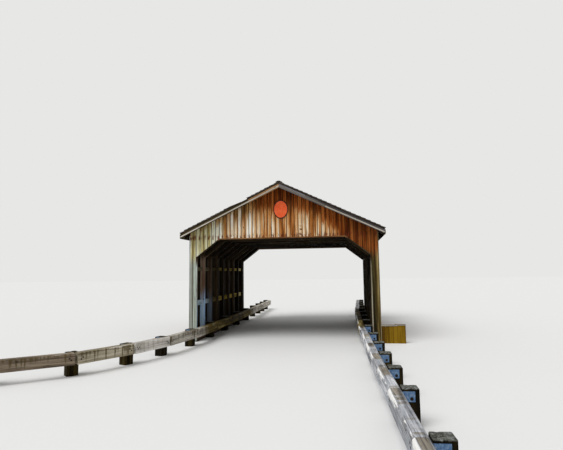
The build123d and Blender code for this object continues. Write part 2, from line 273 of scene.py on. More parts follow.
def loft(rings):
    """Points and faces of a skin over equal rings, with both ends closed."""
    size = len(rings[0])
    last = (len(rings) - 1) * size
    faces = [tuple(range(size)), tuple(range(last, last + size))]
    for low in range(0, last, size):
        for i in range(size):
            j = (i + 1) % size
            faces.append((low + i, low + j, low + size + j, low + size + i))
    return [point for ring in rings for point in ring], faces


def grain_start(rng):
    """A random place in the grain, so that no two boards look alike."""
    return [rng.uniform(0, 40) for axis in range(3)]


def bevelled(left, right, near, far, bevel=BOARD_BEVEL):
    """Section of a bevelled board, as places across, depths, and nearness to an edge."""
    inner_left, inner_right, inner_near, inner_far = left + bevel, right - bevel, near + bevel, far - bevel
    return [
        (inner_left, near, 1), (inner_right, near, 1), (right, inner_near, 1), (right, inner_far, 1),
        (inner_right, far, 1), (inner_left, far, 1), (left, inner_far, 1), (left, inner_near, 1),
    ]


def shiplap(left, right, thickness, lap):
    """Section of a board whose back half laps under the next board."""
    half, bevel = thickness / 2, BOARD_BEVEL * 2
    notch = left + BOARD_LAP + BOARD_GAP
    return [
        (left + bevel, 0, 1), (left + SEAM_WIDTH, 0, 0), (right - SEAM_WIDTH, 0, 0), (right - bevel, 0, 1),
        (right, bevel, 1), (right, half, 1), (right + lap, half, 1), (right + lap, thickness, 0),
        (notch, thickness, 0), (notch, half, 1), (left, half, 1), (left, bevel, 1),
    ]


def at(length, across):
    """A length that may depend on the place across a board."""
    return length(across) if callable(length) else length


def run_board(stock, rng, section, place, start, end, step=0.5, bow=0.002, tone=None):
    """Add a board of one section. Its start and end may depend on the place across."""
    middle = sum(across for across, depth, edge in section) / len(section)
    rows = max(2, round(abs(at(end, middle) - at(start, middle)) / step) + 1)
    along, first, second = grain_start(rng)
    rings, grain, edges = [], [], []
    for row in range(rows):
        sideways, inward = rng.uniform(-bow, bow) / 3, rng.uniform(-bow, bow)
        ring = []
        for across, depth, edge in section:
            near = at(start, across)
            reach = near + (at(end, across) - near) * row / (rows - 1)
            ring.append(place(across + sideways, depth + inward, reach))
            grain.append((along + reach, first + across, second + depth))
            edges.append(float(edge))
        rings.append(ring)
    stock.add(*loft(rings), grain, rng.random() if tone is None else tone, edges)


def even_boards(left, right, width):
    """Left and right edges of the whole boards that fill a stretch."""
    count = max(1, round((right - left) / width))
    edges = [left + (right - left) * i / count for i in range(count + 1)]
    return list(zip(edges, edges[1:]))


def joined(start, joint, stop, gap=0.001):
    """The two lengths of a board, which meet at a joint."""
    return (start, joint - gap), (joint + gap, stop)


def solids(node):
    """The separate solids of a CAD node, as points and flat faces."""
    work = bmesh.new()
    work.from_mesh(nodes[node].data)
    bmesh.ops.remove_doubles(work, verts=work.verts, dist=HAIR)
    bmesh.ops.dissolve_limit(work, angle_limit=radians(1), verts=work.verts, edges=work.edges)
    found = []
    left = set(work.verts)
    while left:
        island, edge = set(), [min(left, key=lambda v: tuple(v.co))]
        while edge:
            vertex = edge.pop()
            if vertex not in island:
                island.add(vertex)
                edge += [e.other_vert(vertex) for e in vertex.link_edges]
        left -= island
        ordered = sorted(island, key=lambda v: v.index)
        number = {v: i for i, v in enumerate(ordered)}
        faces = [tuple(number[v] for v in f.verts) for f in work.faces if f.verts[0] in island]
        found.append(([v.co.copy() for v in ordered], faces))
    work.free()
    return found


def extent(points):
    """Lowest and highest corners of a box round the points."""
    low = Vector(min(p[i] for p in points) for i in range(3))
    high = Vector(max(p[i] for p in points) for i in range(3))
    return low, high


def bevelled_solid(points, faces, bevel):
    """A solid with bevelled edges, as a mesh to work on."""
    work = bmesh.new()
    made = [work.verts.new(p) for p in points]
    for face in faces:
        work.faces.new([made[i] for i in face])
    bmesh.ops.bevel(work, geom=work.edges[:], offset=bevel, segments=1, affect="EDGES")
    return work


def face_corners(work):
    """Faces of a mesh in work, as numbers of their points."""
    work.verts.index_update()
    return [tuple(v.index for v in f.verts) for f in work.faces]


def long_axis(points, faces):
    """Direction of a solid's longest edge, and two directions across it."""
    edges = [points[b] - points[a] for face in faces for a, b in zip(face, face[1:] + face[:1])]
    along = max(edges, key=lambda e: e.length).normalized()
    helper = Vector((0, 0, 1)) if abs(along.z) < 0.7 else Vector((0, 1, 0))
    first = along.cross(helper).normalized()
    return along, first, along.cross(first)


def rough(point, size, amount):
    """A point moved a little by noise, as on a sawn face."""
    return point + Vector(noise.noise_vector(point / size)) * amount


def sawn_timbers(node, slot, finish, bevel=0.006, wander=0.002):
    """A node's timbers with worn edges and slightly uneven faces."""
    stock, rng = Stock(), Random(node)
    for points, faces in solids(node):
        axes = long_axis(points, faces)
        along = axes[0]
        reaches = [p.dot(along) for p in points]
        start, run = min(reaches), max(reaches) - min(reaches)
        work = bevelled_solid(points, faces, bevel)
        count = round(run / SAWN_STEP)
        for i in range(1, count):
            geometry = work.verts[:] + work.edges[:] + work.faces[:]
            middle = along * (start + run * i / count)
            bmesh.ops.bisect_plane(work, geom=geometry, plane_co=middle, plane_no=along)
        skin = face_corners(work)
        offset = Vector(grain_start(rng))
        grain = [offset + Vector([v.co.dot(axis) for axis in axes]) for v in work.verts]
        foot = extent(points)[0].z
        shifted = [rough(v.co, 0.4, wander) for v in work.verts]
        shifted = [(p.x, p.y, max(p.z, foot)) for p in shifted]
        stock.add(shifted, skin, grain, rng.uniform(0.1, 0.9))
        work.free()
    stock.replace(node, "timber", slot, finish, 40)


# Materials

WIDE_STOPS = (0.1, 0.5, 0.88)
JAMB_STOPS = (0.15, 0.5, 0.88)


class Value:
    """A shader node's output, a number, a place or a colour. What is done with it adds further nodes."""

    def __init__(self, graph, socket):
        self.graph = graph
        self.socket = socket

    def __add__(self, other):
        return self.graph.math("ADD", self, other)

    def __sub__(self, other):
        return self.graph.math("SUBTRACT", self, other)

    def __rsub__(self, other):
        return self.graph.math("SUBTRACT", other, self)

    def __mul__(self, other):
        return self.graph.math("MULTIPLY", self, other)

    def __abs__(self):
        return self.graph.math("ABSOLUTE", self)

    def spread(self, low, high):
        """Zero at low and one at high, with a smooth step between."""
        inputs = {"Value": self, "From Min": low, "From Max": high}
        return self.graph.node("MapRange", inputs, interpolation_type="SMOOTHSTEP")

    def blend(self, first, second):
        """The first colour where this value is zero, and the second where it is one."""
        return self.graph.node("Mix", {0: self, 6: first, 7: second}, 2, data_type="RGBA")

    def shades(self, *colours, stops=(0.2, 0.5, 0.85)):
        """Colours for this value, with one at each stop."""
        shaded = self.graph.node("ValToRGB", {0: self})
        elements = shaded.socket.node.color_ramp.elements
        while len(elements) < len(colours):
            elements.new(0.5)
        for element, position, colour in zip(elements, stops, colours):
            element.position = position
            element.color = (*colour, 1)
        return shaded

    def parts(self):
        """The three numbers of a place or colour."""
        first = self.graph.node("SeparateXYZ", {0: self})
        return [Value(self.graph, socket) for socket in first.socket.node.outputs]

    def noise(self, scale, detail=3.0, rough=0.6):
        """Noise over a place, with so many features per metre each way."""
        place = self.graph.node("Mapping", {"Vector": self, "Scale": scale})
        inputs = {"Vector": place, "Scale": 1.0, "Detail": detail, "Roughness": rough}
        return self.graph.node("TexNoise", inputs, "Fac")

    def cells(self, scale):
        """Distance to the nearest of scattered points, and that point's own random colour."""
        place = self.graph.node("Mapping", {"Vector": self, "Scale": scale})
        distance = self.graph.node("TexVoronoi", {"Vector": place, "Scale": 1.0}, "Distance")
        return distance, Value(self.graph, distance.socket.node.outputs["Color"])


class Graph:
    """The node tree of a material or a world."""

    def __init__(self, owner):
        owner.use_nodes = True
        self.tree = owner.node_tree

    def put(self, socket, value):
        """Link a socket to a node's output, or set it to a number or colour."""
        if isinstance(value, Value):
            self.tree.links.new(value.socket, socket)
        elif socket.type == "RGBA":
            socket.default_value = (*value, 1)
        else:
            socket.default_value = value

    def node(self, kind, inputs, output=0, **settings):
        """Add a node with its settings and inputs, and give one of its outputs."""
        node = self.tree.nodes.new(f"ShaderNode{kind}")
        for setting, value in settings.items():
            setattr(node, setting, value)
        for socket, value in inputs.items():
            self.put(node.inputs[socket], value)
        return Value(self, node.outputs[output])

    def math(self, operation, first, second=0.0):
        return self.node("Math", {0: first, 1: second}, operation=operation)


class Finish(Graph):
    """A material, as the finish of a surface."""

    def __init__(self, name, roughness=0.85, metallic=0.0, gloss=0.1):
        self.material = bpy.data.materials.new(name)
        super().__init__(self.material)
        self.shader = self.tree.nodes["Principled BSDF"].inputs
        for key, value in (("Roughness", roughness), ("Metallic", metallic), ("Specular IOR Level", gloss)):
            self.shader[key].default_value = value
        self.place = self.node("TexCoord", {}, "Object")

    def done(self, colour, height, strength=0.5, distance=0.004):
        """Connect the colour and a bump, and give the material."""
        bump = self.node("Bump", {"Strength": strength, "Distance": distance, "Height": height})
        self.put(self.shader["Base Color"], colour)
        self.put(self.shader["Normal"], bump)
        return self.material


class Wood(Finish):
    """The shared pattern of weathered wood: bands, streaks, fibres, patches, knots and checks.

    Its level is how pale the wood is, around a half. The weights say how much of it comes from each board's
    tone, the bands, the streaks, the fibres and the patches.
    """

    def __init__(self, name, weights, roughness=0.85):
        super().__init__(name, roughness)
        self.grain = self.node("Attribute", {}, "Vector", attribute_name="grain")
        self.tone = self.node("Attribute", {}, "Fac", attribute_name="tone")
        self.edge = self.node("Attribute", {}, "Fac", attribute_name="edge")
        self.x, self.y, self.z = self.place.parts()
        self.left = self.x.spread(0.5, -0.5)
        self.right = self.x.spread(-0.5, 0.5)
        self.bands = self.grain.noise((0.3, 9, 9), 2, 0.5).spread(0.34, 0.66)
        self.streaks = self.grain.noise((0.8, 30, 30), 3, 0.65)
        self.fibres = self.grain.noise((5, 190, 190), 3, 0.7)
        self.patches = self.grain.noise((1.1, 2.6, 2.6), 2, 0.5)
        self.checks = self.grain.noise((1.3, 75, 75), 2, 0.5).spread(0.63, 0.70)
        distance, colour = self.grain.cells((3.2, 7, 7))
        self.knots = distance.spread(0.16, 0.09) * colour.parts()[0].spread(0.86, 0.88)
        self.level = 0.5
        for value, weight in zip((self.tone, self.bands, self.streaks, self.fibres, self.patches), weights):
            self.level = (value - 0.5) * weight + self.level

    def shades(self, *colours, **stops):
        """Colours for the wood's level."""
        return self.level.shades(*colours, **stops)

    def aged(self, colour, dark, checks=0.8, knots=0.85, edges=0.7):
        """A colour with its checks, knots and board edges in a darker one."""
        seam = (self.edge + self.patches * 0.5).spread(0.62, 0.98)
        colour = (self.checks * checks).blend(colour, dark)
        colour = (self.knots * knots).blend(colour, dark)
        return (seam * edges).blend(colour, dark)

    def relief(self):
        """Height of the fibres, with checks cut in."""
        return self.fibres * 0.5 + self.streaks * 0.5 - self.checks * 0.9

    def weathered(self, colour, dark, edges=0.7, strength=0.5):
        """The material, with its dark marks and its relief."""
        return self.done(self.aged(colour, dark, edges=edges), self.relief(), strength)


def plain_wood(name, *shades, weights=(0.5, 0.25, 0.5, 0.3, 0.3), edges=0.7):
    """Weathered wood in three shades."""
    wood = Wood(name, weights)
    return wood.weathered(wood.shades(*shades, stops=(0.25, 0.5, 0.78)), (0.02, 0.013, 0.008), edges)


# Marks on the gable
STAIN_LINE = RIDGE_Z - 1.03
SIGN_X = 0.15
INNER_JAMB_BOARD = BOARD_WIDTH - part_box("front_gable_jambs")[1].x
DARK_KNOTS = ((0.75, 4.60), (0.81, 4.46), (0.76, 4.27))
KNOT_RADIUS = 0.060
KNOT_HEIGHT_SHARE = 1 / 1.5


def over_stain_line(wood):
    """Height over the ragged lower edge of the stain, which sags towards the right."""
    roof = RIDGE_Z - abs(wood.x) * PITCH
    sag = wood.math("MAXIMUM", wood.x - 0.8, 0.0) * 0.42 + wood.math("MAXIMUM", wood.x - 2.3, 0.0) * 2.2
    limit = wood.math("MINIMUM", roof - 0.30, STAIN_LINE) - sag
    by_board = 0.3 - wood.x.spread(-0.7, -1.5)
    ragged = (wood.bands - 0.5) * 0.42 + (wood.streaks - 0.5) * 0.9 + (wood.tone - 0.5) * by_board
    return wood.z - limit + ragged


def bleached_gable(wood, above):
    """Bleached boards: tan to white, then golden grey at the left, and silver down the left jamb."""
    washed = wood.level - above.spread(-0.7, -0.1) * 0.12 + wood.x.spread(-0.7, -1.4) * 0.08
    washed = washed - abs(wood.x - SIGN_X).spread(0.9, 0.4) * 0.07
    bleached = washed.shades((0.12, 0.034, 0.006), (0.42, 0.145, 0.028), (0.60, 0.33, 0.135),
                             (0.75, 0.58, 0.37), (0.93, 0.91, 0.83), stops=(0.06, 0.26, 0.44, 0.62, 0.88))
    grey = wood.shades((0.09, 0.055, 0.010), (0.37, 0.28, 0.085), (0.62, 0.57, 0.30), (0.84, 0.87, 0.75),
                       stops=(0.08, 0.32, 0.56, 0.86))
    silver = wood.shades((0.11, 0.12, 0.09), (0.38, 0.43, 0.36), (0.78, 0.86, 0.82), stops=(0.08, 0.4, 0.86))
    outer_board = wood.x.spread(INNER_JAMB_BOARD, INNER_JAMB_BOARD - 0.04) * 0.5
    silver = outer_board.blend(silver, (0.13, 0.115, 0.10))
    grey = wood.z.spread(KNEE_Z + 0.2, KNEE_Z - 0.4).blend(grey, silver)
    return wood.x.spread(-2.1, -3.0).blend(bleached, grey)


def stained_gable(wood):
    """Stained boards: red-brown, plain brown at the left, darkest at the far right."""
    stained = wood.shades((0.040, 0.006, 0.0004), (0.215, 0.044, 0.003), (0.50, 0.16, 0.035),
                          stops=(0.1, 0.48, 0.88))
    brown = wood.shades((0.040, 0.017, 0.003), (0.22, 0.10, 0.022), (0.56, 0.34, 0.13), stops=WIDE_STOPS)
    stained = wood.x.spread(-0.7, -1.5).blend(stained, brown)
    return (wood.x.spread(2.1, 2.9) * 0.4).blend(stained, (0.045, 0.010, 0.001))


def right_jamb(wood):
    """Right jamb: dark olive, with a golden board along the passage's outer side."""
    olive = wood.shades((0.004, 0.003, 0.001), (0.017, 0.014, 0.003), (0.08, 0.06, 0.018), stops=JAMB_STOPS)
    golden = wood.shades((0.02, 0.014, 0.003), (0.105, 0.075, 0.020), (0.34, 0.25, 0.10), stops=JAMB_STOPS)
    return (wood.x + wood.streaks * 0.1).spread(3.70, 3.80).blend(olive, golden)


def gable_wood():
    """Gable boards: dark red-brown stain under the roof, bleached and streaked below it."""
    wood = Wood("gable_wood", (0.35, 0.5, 0.9, 0.45, 0.3))
    x, z = wood.x, wood.z
    above = over_stain_line(wood)
    stain = above.spread(-0.14, 0.12)
    colour = stain.blend(bleached_gable(wood, above), stained_gable(wood))
    foot = z.spread(LINTEL_Z + 0.22, LINTEL_Z + 0.06) * z.spread(LINTEL_Z - 0.1, LINTEL_Z)
    foot_marks = foot * wood.grain.noise((3, 13, 13), 3, 0.6).spread(0.46, 0.58)
    colour = (foot_marks * 0.85).blend(colour, (0.15, 0.03, 0.010))
    jamb = x.spread(2.9, 3.1) * z.spread(KNEE_Z + 0.35, KNEE_Z - 0.25)
    colour = jamb.blend(colour, right_jamb(wood))
    blot = (wood.place.noise((16, 16, 16), 3, 0.6) - 0.5) * 0.26
    for knot_x, knot_z in DARK_KNOTS:
        aside, over = x - knot_x, (z - knot_z) * (1 / KNOT_HEIGHT_SHARE)
        distance = wood.math("SQRT", aside * aside + over * over) + blot
        colour = distance.spread(KNOT_RADIUS, KNOT_RADIUS / 3).blend(colour, (0.075, 0.022, 0.006))
    return wood.weathered(colour, (0.045, 0.018, 0.005))


def trim_wood():
    """Portal trim: pale grey up the left jamb with a blue-green cast that is painted sky light, brown up the
    right, dark haunches and a tan lintel.
    """
    wood = Wood("trim_wood", (0.3, 0.3, 0.5, 0.3, 0.3))
    # Painted sky light: the blue-green cast of these pale shades; the pale grey is the trim's own.
    pale = wood.shades((0.24, 0.27, 0.24), (0.49, 0.56, 0.51), (0.76, 0.84, 0.81))
    brown = wood.shades((0.06, 0.05, 0.03), (0.19, 0.165, 0.11), (0.48, 0.44, 0.34))
    tan = wood.shades((0.10, 0.035, 0.010), (0.23, 0.115, 0.045), (0.44, 0.27, 0.13))
    dark = wood.shades((0.010, 0.007, 0.003), (0.035, 0.022, 0.010), (0.10, 0.07, 0.035))
    colour = wood.z.spread(KNEE_Z - 0.5, KNEE_Z - 0.1).blend(wood.right.blend(pale, brown), dark)
    colour = wood.z.spread(LINTEL_Z - 0.10, LINTEL_Z - 0.05).blend(colour, tan)
    return wood.weathered(colour, (0.02, 0.013, 0.008), edges=0.0)


def frame_wood_painted_light_and_shade():
    """Dark frame timbers, whose near black is painted shade of the passage; red and then blue-grey down the
    left wall near the front portal, the blue-grey being painted sky light.
    """
    wood = Wood("frame_wood_painted_light_and_shade", (0.4, 0.3, 0.6, 0.3, 0.4))
    # Painted shade: these near-black shades stand for the shade in the covered passage.
    dark = wood.shades((0.004, 0.003, 0.001), (0.018, 0.011, 0.005), (0.075, 0.05, 0.022))
    red = wood.shades((0.05, 0.026, 0.012), (0.19, 0.11, 0.07), (0.40, 0.29, 0.21))
    # Painted sky light: blue-grey on the low timbers by the front portal.
    grey = wood.shades((0.14, 0.22, 0.38), (0.42, 0.64, 0.96), (0.60, 0.80, 0.98))
    near = wood.y.spread(2.6 - PORTAL_Y, 1.0 - PORTAL_Y) * wood.left
    near = near * wood.z.spread(KNEE_Z + 0.2, KNEE_Z - 0.2)
    low = (wood.z + wood.bands * 0.5).spread(2.3, 1.5)
    return wood.weathered(near.blend(dark, low.blend(red, grey)), (0.006, 0.004, 0.003))


def girt_wood_painted_light_and_shade():
    """Girts: bluish grey near the front portal as painted sky light, then brown as painted shade, also on
    the upper row, and yellow further in, pale near the rear portal as painted light from that opening.
    """
    wood = Wood("girt_wood_painted_light_and_shade", (0.3, 0.3, 0.5, 0.3, 0.3))
    yellow = wood.shades((0.14, 0.09, 0.008), (0.40, 0.27, 0.03), (0.62, 0.48, 0.14))
    grey = wood.shades((0.16, 0.21, 0.24), (0.38, 0.50, 0.58), (0.60, 0.72, 0.80))
    brown = wood.shades((0.02, 0.015, 0.004), (0.08, 0.06, 0.015), (0.18, 0.14, 0.05))
    # Painted shade: the upper row stays dark brown except near the rear portal.
    upper = wood.z.spread(2.3, 2.7) * wood.y.spread(3.2, 2.4)
    yellow = (upper * 0.6).blend(yellow, brown)
    # Painted light: pale yellow close to the rear portal.
    yellow = (wood.y.spread(2.9, 3.3) * 0.7).blend(yellow, (0.72, 0.62, 0.30))
    grey = (upper * 0.93).blend(grey, brown)
    # Painted shade: dark brown in the front half of the passage.
    colour = wood.y.spread(-1.6, 0.2).blend(brown, yellow)
    # Painted sky light: the bluish grey of the girts in the front bays.
    colour = wood.y.spread(1.4 - PORTAL_Y, 2.4 - PORTAL_Y).blend(grey, colour)
    return wood.weathered(colour, (0.03, 0.02, 0.008), edges=0.0)


def siding_wood():
    """Side boards: dark under the eave, bleached below, dirty at the foot, with their inner faces painted
    near black as the shade in the passage.
    """
    wood = Wood("siding_wood", (0.5, 0.35, 0.6, 0.4, 0.3))
    bleached = wood.shades((0.07, 0.035, 0.015), (0.19, 0.125, 0.075), (0.40, 0.34, 0.27),
                           stops=(0.15, 0.45, 0.85))
    stained = wood.shades((0.022, 0.009, 0.003), (0.085, 0.037, 0.014), (0.2, 0.11, 0.05),
                          stops=(0.15, 0.5, 0.85))
    ragged = wood.z + (wood.bands * 0.5 + wood.tone * 0.5)
    colour = ragged.spread(KNEE_Z + 0.1, KNEE_Z + 0.9).blend(bleached, stained)
    # Painted shade: the boards' inner faces, in the passage, are made almost black.
    painted_inner_shade = abs(wood.x).spread(SIDING_INSIDE + 0.012, SIDING_INSIDE + 0.004)
    colour = (painted_inner_shade * 0.88).blend(colour, (0.012, 0.008, 0.003))
    dirt = (wood.z + wood.streaks * 0.5).spread(0.62, 0.25)
    colour = (dirt * 0.6).blend(colour, (0.05, 0.035, 0.022))
    return wood.weathered(colour, (0.02, 0.012, 0.007))


def corner_wood():
    """Corner boards: pale blue-grey on the left of the front, golden brown on the right."""
    wood = Wood("corner_wood", (0.3, 0.3, 0.5, 0.3, 0.3))
    pale = wood.shades((0.10, 0.10, 0.085), (0.31, 0.32, 0.28), (0.60, 0.65, 0.63))
    golden = wood.shades((0.04, 0.03, 0.01), (0.16, 0.122, 0.055), (0.42, 0.37, 0.25))
    return wood.weathered(wood.right.blend(pale, golden), (0.03, 0.022, 0.010), edges=0.0)


def fascia_wood():
    """Dark roof-edge boards. The lowest tones are bleached pale blue-grey, whose blue-white is partly a
    painted highlight, and the highest is newer orange wood.
    """
    wood = Wood("fascia_wood", (0.4, 0.3, 0.6, 0.3, 0.4))
    colour = wood.shades((0.008, 0.005, 0.001), (0.036, 0.026, 0.008), (0.12, 0.095, 0.045))
    fresh = wood.shades((0.05, 0.020, 0.006), (0.20, 0.09, 0.030), (0.36, 0.21, 0.10))
    # Partly painted highlight: the blue-white of these pale shades stands for light caught along the right
    # barge boards; their grey is the wood's own silvering.
    bleached = wood.shades((0.15, 0.14, 0.15), (0.33, 0.32, 0.35), (0.62, 0.62, 0.70))
    colour = wood.tone.spread(0.95, 0.97).blend(colour, fresh)
    colour = wood.tone.spread(0.05, 0.03).blend(colour, bleached)
    return wood.weathered(colour, (0.012, 0.009, 0.006), edges=0.0)


def shake_wood():
    """Weathered roof shakes: grey-brown, with darker blotches and lichen."""
    wood = Wood("shake_wood", (0.38, 0.2, 0.5, 0.4, 0.3), 0.9)
    colour = wood.shades((0.045, 0.037, 0.030), (0.115, 0.098, 0.085), (0.24, 0.22, 0.205))
    blotches = wood.place.noise((0.6, 0.6, 0.6), 3, 0.6).spread(0.45, 0.65)
    colour = (blotches * 0.5).blend(colour, (0.055, 0.048, 0.036))
    lichen = wood.place.noise((9, 9, 9), 4, 0.65).spread(0.64, 0.70)
    colour = (lichen * 0.45).blend(colour, (0.20, 0.22, 0.13))
    return wood.weathered(colour, (0.02, 0.016, 0.012), edges=0.0, strength=0.7)


def rail_shades(wood):
    """Rail timbers: cool grey on the right, and on the left brown, lighter, and silver on the third.

    Gives the colour, and where the third timber of the front left rail lies.
    """
    cool = wood.shades((0.10, 0.105, 0.115), (0.40, 0.415, 0.445), (0.76, 0.775, 0.80), stops=WIDE_STOPS)
    silver = wood.shades((0.24, 0.225, 0.20), (0.62, 0.585, 0.53), (0.88, 0.865, 0.83), stops=WIDE_STOPS)
    lighter = wood.shades((0.09, 0.075, 0.045), (0.31, 0.265, 0.185), (0.58, 0.52, 0.40), stops=WIDE_STOPS)
    browner = wood.shades((0.04, 0.028, 0.016), (0.155, 0.118, 0.082), (0.34, 0.28, 0.20), stops=WIDE_STOPS)
    starts = sorted(extent(points)[0].y for points, faces in solids("front_left_rail_beams"))
    silvered = wood.y.spread(starts[2] - 0.03, starts[2] + 0.03) * wood.y.spread(starts[3], starts[3] - 0.05)
    silvered = silvered * wood.left
    left = wood.y.spread(starts[1] - 0.03, starts[1] + 0.03).blend(browner, lighter)
    left = silvered.blend(left, silver)
    left = (wood.y.spread(starts[3] - 0.05, starts[3]) * 0.6).blend(left, silver)
    return wood.right.blend(left, cool), silvered


def rail_wood():
    """Silver-grey rails with drips under the top edge, bands across the top, and worn edges whose near-white
    is partly a painted highlight; under the roof they turn brown and darker, partly as painted shade.
    """
    wood = Wood("rail_wood", (0.25, 0.3, 1.1, 0.6, 0.7), 0.8)
    colour, silvered = rail_shades(wood)
    down = RAIL_TOP - wood.z
    top = down.spread(0.018, 0.007)
    drips = (wood.grain.noise((15, 0.6, 0.6), 2, 0.5) - down * 0.6).spread(0.44, 0.54)
    drips = drips * (0.8 - top * 0.8) * (1.0 - wood.right * 0.6) * (1.0 - silvered * 0.65)
    colour = drips.blend(colour, (0.085, 0.060, 0.022))
    # Tan-brown bands across the top, most towards each timber's far end.
    blotches = (wood.grain.noise((4.5, 0.8, 0.8), 4, 0.7) - wood.edge * 0.35).spread(0.54, 0.68) * top * 0.8
    colour = blotches.blend(colour, wood.shades((0.06, 0.045, 0.025), (0.34, 0.28, 0.19), stops=(0.2, 0.8)))
    mottle = wood.grain.noise((9, 24, 24), 4, 0.7).spread(0.50, 0.66) * top * 0.5
    colour = mottle.blend(colour, (0.17, 0.165, 0.155))
    # Under the roof the rails turn brown, partly the sheltered wood's own colour and partly painted shade.
    brown = wood.shades((0.016, 0.010, 0.001), (0.10, 0.068, 0.012), (0.34, 0.26, 0.09), stops=WIDE_STOPS)
    sheltered_brown_and_shade = abs(wood.y + wood.patches * 0.5).spread(PORTAL_Y + 0.7, PORTAL_Y - 0.5)
    colour = wood.aged(sheltered_brown_and_shade.blend(colour, brown), (0.03, 0.026, 0.022), edges=0.0)
    # Pale rubbed wear on the front edge and face; its near-white along the chamfer is partly a painted
    # highlight.
    coarse, fine = wood.grain.noise((0.9, 0.9, 0.9), 3, 0.6), wood.grain.noise((5, 30, 30), 3, 0.6)
    patchy = wood.edge + (fine - 0.5) * 0.9 + (coarse - 0.5) * 1.2 - (1.0 - wood.right) * 0.38
    worn = patchy.spread(0.46, 0.68) * (wood.right * 0.4 + 0.55)
    return wood.done(worn.blend(colour, (0.93, 0.92, 0.89)), wood.relief(), 0.7, 0.006)


def post_wood():
    """Dark guard posts with a paler weathered top and rim."""
    wood = Wood("guard_post_wood", (0.4, 0.3, 0.7, 0.5, 0.6), 0.9)
    dark = wood.shades((0.002, 0.0014, 0.0003), (0.009, 0.006, 0.0012), (0.055, 0.038, 0.009),
                       stops=(0.15, 0.6, 0.95))
    mottle = wood.grain.noise((20, 20, 20), 4, 0.7)
    top = mottle.shades((0.02, 0.018, 0.014), (0.10, 0.10, 0.085), (0.34, 0.36, 0.35), stops=(0.3, 0.5, 0.7))
    colour = (wood.z + wood.streaks * 0.06).spread(RAIL_TOP + 0.035, RAIL_TOP + 0.055).blend(dark, top)
    colour = wood.aged(colour, (0.004, 0.003, 0.002), 0.7, 0.4, 0.0)
    return wood.done(colour, wood.relief(), 0.7, 0.006)


def zinc():
    """Dull galvanised steel, painted blue as the sky it reflects, with a spangled bloom and rust at places.
    """
    finish = Finish("galvanised_steel", 0.5, 0.5, 0.4)
    level = finish.place.noise((22, 22, 22), 4, 0.6) * 0.8 + finish.place.cells((90, 90, 90))[0] * 0.3
    # Painted reflection: these blue shades stand for the sky seen in the steel.
    blue = level.shades((0.045, 0.10, 0.21), (0.10, 0.19, 0.34), (0.27, 0.36, 0.47), stops=(0.3, 0.55, 0.8))
    rust = finish.place.noise((9, 9, 14), 5, 0.7).spread(0.62, 0.70)
    return finish.done((rust * 0.5).blend(blue, (0.12, 0.05, 0.02)), level, 0.25, 0.002)


def rusty_steel():
    """Dark rusted bolts and nails."""
    finish = Finish("rusty_steel", 0.75, 0.3)
    grime = finish.place.noise((60, 60, 60), 4, 0.7)
    colour = grime.shades((0.008, 0.007, 0.006), (0.040, 0.026, 0.018), stops=(0.3, 0.7))
    return finish.done(colour, grime, 0.4, 0.001)


def sign_paint(name, roughness, *shades):
    """Weathered paint in three shades of one colour."""
    finish = Finish(name, roughness)
    fade, runs = finish.place.noise((7, 7, 7), 4, 0.6), finish.place.noise((40, 40, 5), 3, 0.6)
    colour = (fade * 0.6 + runs * 0.4).shades(*shades, stops=(0.3, 0.5, 0.7))
    return finish.done(colour, finish.place.noise((220, 220, 220), 2, 0.6), 0.12, 0.001)


MATERIALS = {
    "gable": gable_wood(),
    "trim": trim_wood(),
    "frame": frame_wood_painted_light_and_shade(),
    "girt": girt_wood_painted_light_and_shade(),
    "siding": siding_wood(),
    # Painted shade: the roof deck and the sills lie in the passage's shade, painted in as these dark shades.
    "deck": plain_wood("deck_wood_painted_shade", (0.02, 0.012, 0.007), (0.055, 0.035, 0.02), (0.12, 0.08, 0.05)),
    "shake": shake_wood(),
    "strip": plain_wood("strip_wood", (0.16, 0.14, 0.11), (0.38, 0.345, 0.29), (0.66, 0.62, 0.56),
                        edges=0.0),
    "fascia": fascia_wood(),
    "corner": corner_wood(),
    "wing": plain_wood("wing_wood", (0.11, 0.052, 0.001), (0.21, 0.112, 0.001), (0.31, 0.18, 0.008),
                       weights=(0.4, 0.35, 0.8, 0.3, 0.9), edges=0.25),
    "rail": rail_wood(),
    "post": post_wood(),
    "zinc": zinc(),
    "rust": rusty_steel(),
}
SIGN_PAINTS = [
    # Painted shadow: the dark border paint stands for shadow along the sign's edge.
    sign_paint("sign_rim_painted_shadow", 0.6, (0.02, 0.009, 0.008), (0.04, 0.017, 0.014), (0.08, 0.04, 0.03)),
    sign_paint("sign_face_paint", 0.55, (0.62, 0.07, 0.02), (0.80, 0.12, 0.035), (0.86, 0.19, 0.07)),
]


# Walls and gables

def disc(stock, centre, axis, sides, profile):
    """Add a turned shape on a base point, from radii and heights along its axis."""
    axis = axis.normalized()
    helper = Vector((0, 0, 1)) if abs(axis.z) < 0.9 else Vector((1, 0, 0))
    across = axis.cross(helper).normalized()
    up = axis.cross(across)
    turns = [2 * pi * i / sides for i in range(sides)]
    rings = []
    for radius, height in profile:
        rings.append([centre + (across * cos(t) + up * sin(t)) * radius + axis * height for t in turns])
    points, faces = loft(rings)
    stock.add(points, faces, points, 0.5)


def bolt(stock, centre, axis, radius, height):
    """Add a six-sided bolt head on a washer."""
    washer = radius * 1.7
    disc(stock, centre, axis, 20, ((washer, 0.0), (washer, 0.003), (washer * 0.95, 0.004)))
    disc(stock, centre, axis, 6, ((radius, 0.004), (radius, height - 0.002), (radius * 0.88, height)))


def nail_pair(nails, place, middle, height, axis):
    """Add two low round nail heads, side by side on a board."""
    for aside in (-NAIL_ASIDE, NAIL_ASIDE):
        disc(nails, Vector(place(middle + aside, 0, height)), Vector(axis), 8, NAIL_PROFILE)


